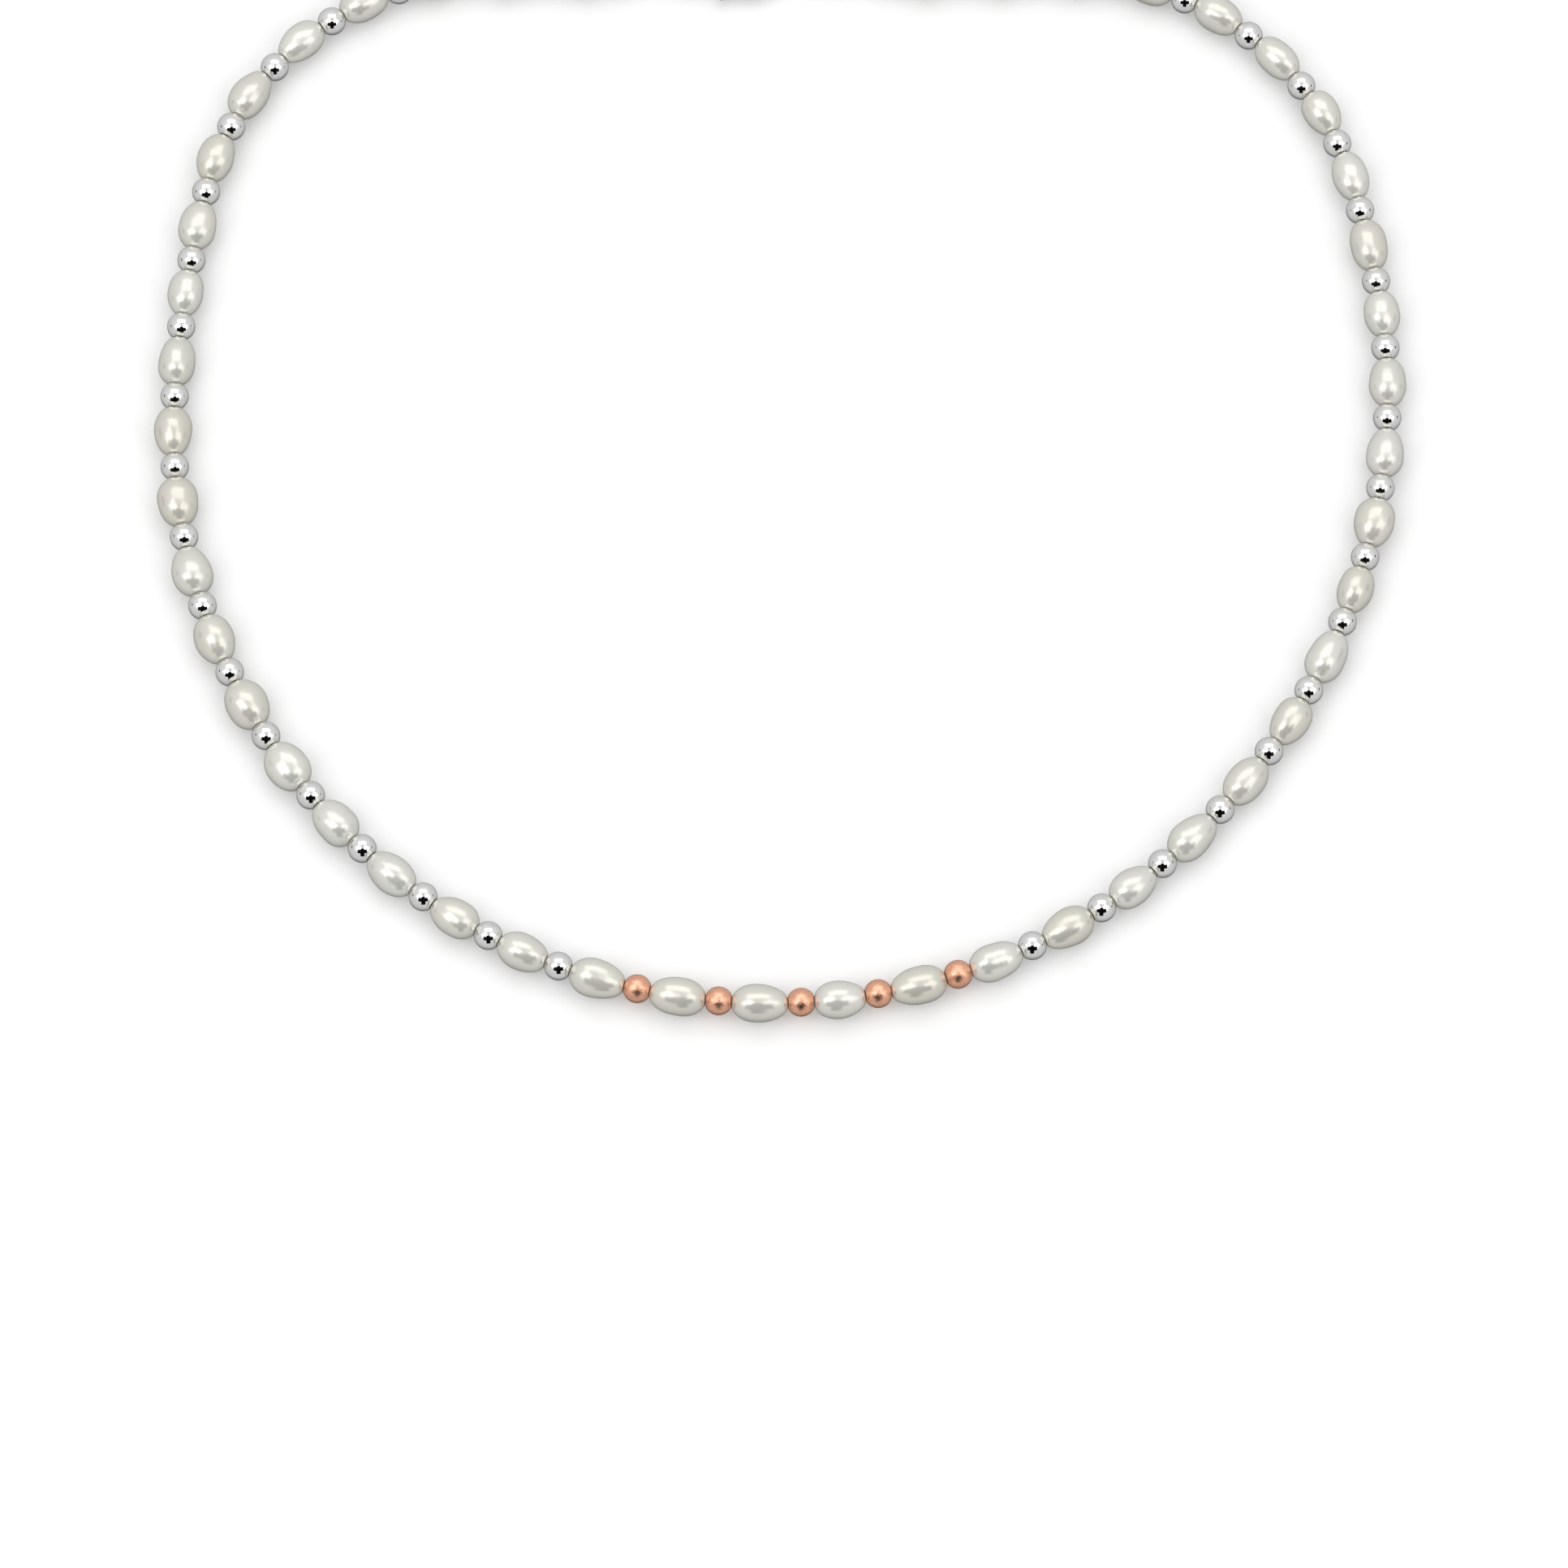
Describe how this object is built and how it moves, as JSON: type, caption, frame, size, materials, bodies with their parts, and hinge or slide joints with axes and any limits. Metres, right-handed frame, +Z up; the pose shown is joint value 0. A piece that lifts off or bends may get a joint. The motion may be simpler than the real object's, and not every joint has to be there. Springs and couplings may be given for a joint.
{
  "type": "pearl necklace",
  "caption": "Single strand of drilled oval pearls and small round metal beads on a beading wire, with a lobster clasp and end ring.",
  "frame": {"origin": "centre of the necklace's box, on the table it lies on", "axes": "+X to the right seen from the front, +Y from the front of the loop towards the clasp, +Z up from the table"},
  "size_m": [0.1326, 0.1224, 0.0044],
  "materials": {
    "pearl": "soft nacre lustre, off-white with faint pink and green tints",
    "silver": "polished silver",
    "rose_gold": "matt brushed rose gold",
    "wire": "fine cable strand"
  },
  "bodies": {
    "front": {"front_pearls": "pearl", "front_beads": "rose_gold", "beading_wire": "wire"},
    "right_hinge_1": {"right_hinge_bead_1": "rose_gold"},
    "right_section_1": {"right_pearls_1": "pearl", "right_beads_1": "silver"},
    "right_hinge_2": {"right_hinge_bead_2": "silver"},
    "right_section_2": {"right_pearls_2": "pearl", "right_beads_2": "silver"},
    "right_hinge_3": {"right_hinge_bead_3": "silver"},
    "right_section_3": {"right_pearls_3": "pearl", "right_beads_3": "silver"},
    "right_hinge_4": {"right_hinge_bead_4": "silver"},
    "right_section_4": {"right_pearls_4": "pearl", "right_beads_4": "silver"},
    "right_hinge_5": {"right_hinge_bead_5": "silver"},
    "right_section_5": {"right_pearls_5": "pearl", "right_beads_5": "silver"},
    "right_hinge_6": {"right_hinge_bead_6": "silver"},
    "right_section_6": {"right_pearls_6": "pearl", "right_beads_6": "silver"},
    "right_hinge_7": {"right_hinge_bead_7": "silver"},
    "right_section_7": {"right_pearls_7": "pearl", "right_beads_7": "silver", "crimp_right": "silver"},
    "left_hinge_1": {"left_hinge_bead_1": "rose_gold"},
    "left_section_1": {"left_pearls_1": "pearl", "left_beads_1": "silver"},
    "left_hinge_2": {"left_hinge_bead_2": "silver"},
    "left_section_2": {"left_pearls_2": "pearl", "left_beads_2": "silver"},
    "left_hinge_3": {"left_hinge_bead_3": "silver"},
    "left_section_3": {"left_pearls_3": "pearl", "left_beads_3": "silver"},
    "left_hinge_4": {"left_hinge_bead_4": "silver"},
    "left_section_4": {"left_pearls_4": "pearl", "left_beads_4": "silver"},
    "left_hinge_5": {"left_hinge_bead_5": "silver"},
    "left_section_5": {"left_pearls_5": "pearl", "left_beads_5": "silver"},
    "left_hinge_6": {"left_hinge_bead_6": "silver"},
    "left_section_6": {"left_pearls_6": "pearl", "left_beads_6": "silver"},
    "left_hinge_7": {"left_hinge_bead_7": "silver"},
    "left_section_7": {"left_pearls_7": "pearl", "left_beads_7": "silver", "crimp_left": "silver"},
    "clasp_ring": {"clasp_ring": "silver"},
    "clasp": {"clasp_body": "silver", "clasp_rivet": "silver", "clasp_spring": "wire"},
    "lever": {"clasp_lever": "silver"},
    "end_ring": {"end_ring": "silver"}
  },
  "joints": [
    {"name": "right_swing_1", "type": "hinge", "parent": "front", "child": "right_hinge_1", "pos_m": [0.01577, -0.0568, 0.0022], "axis": [0, 0, -1], "range_deg": [0, 20], "deforming": ["beading_wire"]},
    {"name": "right_lift_1", "type": "hinge", "parent": "right_hinge_1", "child": "right_section_1", "pos_m": [0.02098, -0.05507, 0.0022], "axis": [0.3152, -0.949, 0], "range_deg": [0, 14], "deforming": ["beading_wire"]},
    {"name": "right_swing_2", "type": "hinge", "parent": "right_section_1", "child": "right_hinge_2", "pos_m": [0.03766, -0.0455, 0.0022], "axis": [0, 0, -1], "range_deg": [0, 20], "deforming": ["beading_wire"]},
    {"name": "right_lift_2", "type": "hinge", "parent": "right_hinge_2", "child": "right_section_2", "pos_m": [0.0418, -0.04188, 0.0022], "axis": [0.6585, -0.7526, 0], "range_deg": [0, 14], "deforming": ["beading_wire"]},
    {"name": "right_swing_3", "type": "hinge", "parent": "right_section_2", "child": "right_hinge_3", "pos_m": [0.05398, -0.02673, 0.0022], "axis": [0, 0, -1], "range_deg": [0, 20], "deforming": ["beading_wire"]},
    {"name": "right_lift_3", "type": "hinge", "parent": "right_hinge_3", "child": "right_section_3", "pos_m": [0.05663, -0.02191, 0.0022], "axis": [0.8759, -0.4825, 0], "range_deg": [0, 14], "deforming": ["beading_wire"]},
    {"name": "right_swing_4", "type": "hinge", "parent": "right_section_3", "child": "right_hinge_4", "pos_m": [0.0628, -0.0042, 0.0022], "axis": [0, 0, -1], "range_deg": [0, 20], "deforming": ["beading_wire"]},
    {"name": "right_lift_4", "type": "hinge", "parent": "right_hinge_4", "child": "right_section_4", "pos_m": [0.06372, 0.00133, 0.0022], "axis": [0.9864, -0.1645, 0], "range_deg": [0, 14], "deforming": ["beading_wire"]},
    {"name": "right_swing_5", "type": "hinge", "parent": "right_section_4", "child": "right_hinge_5", "pos_m": [0.06368, 0.01972, 0.0022], "axis": [0, 0, -1], "range_deg": [0, 20], "deforming": ["beading_wire"]},
    {"name": "right_lift_5", "type": "hinge", "parent": "right_hinge_5", "child": "right_section_5", "pos_m": [0.06285, 0.0251, 0.0022], "axis": [0.9883, 0.1528, 0], "range_deg": [0, 14], "deforming": ["beading_wire"]},
    {"name": "right_swing_6", "type": "hinge", "parent": "right_section_5", "child": "right_hinge_6", "pos_m": [0.0573, 0.04298, 0.0022], "axis": [0, 0, -1], "range_deg": [0, 20], "deforming": ["beading_wire"]},
    {"name": "right_lift_6", "type": "hinge", "parent": "right_hinge_6", "child": "right_section_6", "pos_m": [0.05418, 0.0473, 0.0022], "axis": [0.8112, 0.5848, 0], "range_deg": [0, 14], "deforming": ["beading_wire"]},
    {"name": "right_swing_7", "type": "hinge", "parent": "right_section_6", "child": "right_hinge_7", "pos_m": [0.03815, 0.05733, 0.0022], "axis": [0, 0, -1], "range_deg": [0, 20], "deforming": ["beading_wire"]},
    {"name": "right_lift_7", "type": "hinge", "parent": "right_hinge_7", "child": "right_section_7", "pos_m": [0.03279, 0.05825, 0.0022], "axis": [0.1694, 0.9855, 0], "range_deg": [0, 14], "deforming": ["beading_wire"]},
    {"name": "left_swing_1", "type": "hinge", "parent": "front", "child": "left_hinge_1", "pos_m": [-0.01223, -0.05814, 0.0022], "axis": [0, 0, 1], "range_deg": [0, 20], "deforming": ["beading_wire"]},
    {"name": "left_lift_1", "type": "hinge", "parent": "left_hinge_1", "child": "left_section_1", "pos_m": [-0.01758, -0.05691, 0.0022], "axis": [0.2243, 0.9745, 0], "range_deg": [0, 14], "deforming": ["beading_wire"]},
    {"name": "left_swing_2", "type": "hinge", "parent": "left_section_1", "child": "left_hinge_2", "pos_m": [-0.03499, -0.04898, 0.0022], "axis": [0, 0, 1], "range_deg": [0, 20], "deforming": ["beading_wire"]},
    {"name": "left_lift_2", "type": "hinge", "parent": "left_hinge_2", "child": "left_section_2", "pos_m": [-0.03944, -0.04575, 0.0022], "axis": [0.5875, 0.8092, 0], "range_deg": [0, 14], "deforming": ["beading_wire"]},
    {"name": "left_swing_3", "type": "hinge", "parent": "left_section_2", "child": "left_hinge_3", "pos_m": [-0.05234, -0.03185, 0.0022], "axis": [0, 0, 1], "range_deg": [0, 20], "deforming": ["beading_wire"]},
    {"name": "left_lift_3", "type": "hinge", "parent": "left_hinge_3", "child": "left_section_3", "pos_m": [-0.05539, -0.02702, 0.0022], "axis": [0.8461, 0.5331, 0], "range_deg": [0, 14], "deforming": ["beading_wire"]},
    {"name": "left_swing_4", "type": "hinge", "parent": "left_section_3", "child": "left_hinge_4", "pos_m": [-0.06231, -0.00977, 0.0022], "axis": [0, 0, 1], "range_deg": [0, 20], "deforming": ["beading_wire"]},
    {"name": "left_lift_4", "type": "hinge", "parent": "left_hinge_4", "child": "left_section_4", "pos_m": [-0.06345, -0.00417, 0.0022], "axis": [0.9798, 0.2, 0], "range_deg": [0, 14], "deforming": ["beading_wire"]},
    {"name": "left_swing_5", "type": "hinge", "parent": "left_section_4", "child": "left_hinge_5", "pos_m": [-0.06393, 0.01439, 0.0022], "axis": [0, 0, 1], "range_deg": [0, 20], "deforming": ["beading_wire"]},
    {"name": "left_lift_5", "type": "hinge", "parent": "left_hinge_5", "child": "left_section_5", "pos_m": [-0.06341, 0.0198, 0.0022], "axis": [0.9954, -0.096, 0], "range_deg": [0, 14], "deforming": ["beading_wire"]},
    {"name": "left_swing_6", "type": "hinge", "parent": "left_section_5", "child": "left_hinge_6", "pos_m": [-0.05996, 0.03789, 0.0022], "axis": [0, 0, 1], "range_deg": [0, 20], "deforming": ["beading_wire"]},
    {"name": "left_lift_6", "type": "hinge", "parent": "left_hinge_6", "child": "left_section_6", "pos_m": [-0.0576, 0.04286, 0.0022], "axis": [0.9034, -0.4288, 0], "range_deg": [0, 14], "deforming": ["beading_wire"]},
    {"name": "left_swing_7", "type": "hinge", "parent": "left_section_6", "child": "left_hinge_7", "pos_m": [-0.04367, 0.05548, 0.0022], "axis": [0, 0, 1], "range_deg": [0, 20], "deforming": ["beading_wire"]},
    {"name": "left_lift_7", "type": "hinge", "parent": "left_hinge_7", "child": "left_section_7", "pos_m": [-0.03855, 0.05732, 0.0022], "axis": [0.3383, -0.941, 0], "range_deg": [0, 14], "deforming": ["beading_wire"]},
    {"name": "clasp_ring_swing", "type": "hinge", "parent": "left_section_7", "child": "clasp_ring", "pos_m": [-0.0117, 0.05857, 0.0022], "axis": [0, 0, 1], "range_deg": [-45, 45]},
    {"name": "clasp_swing", "type": "hinge", "parent": "clasp_ring", "child": "clasp", "pos_m": [-0.0099, 0.05857, 0.0022], "axis": [0, -1, 0], "range_deg": [0, 60]},
    {"name": "lever_press", "type": "hinge", "parent": "clasp", "child": "lever", "pos_m": [-0.00598, 0.05747, 0.0014], "axis": [0, 0, 1], "range_deg": [0, 26], "stiffness_Nm_per_rad": 0.0003, "springref_deg": -5.73, "deforming": ["clasp_spring"]},
    {"name": "end_ring_swing", "type": "hinge", "parent": "right_section_7", "child": "end_ring", "pos_m": [0.00613, 0.05858, 0.0022], "axis": [0, 0, 1], "range_deg": [-45, 45]}
  ]
}
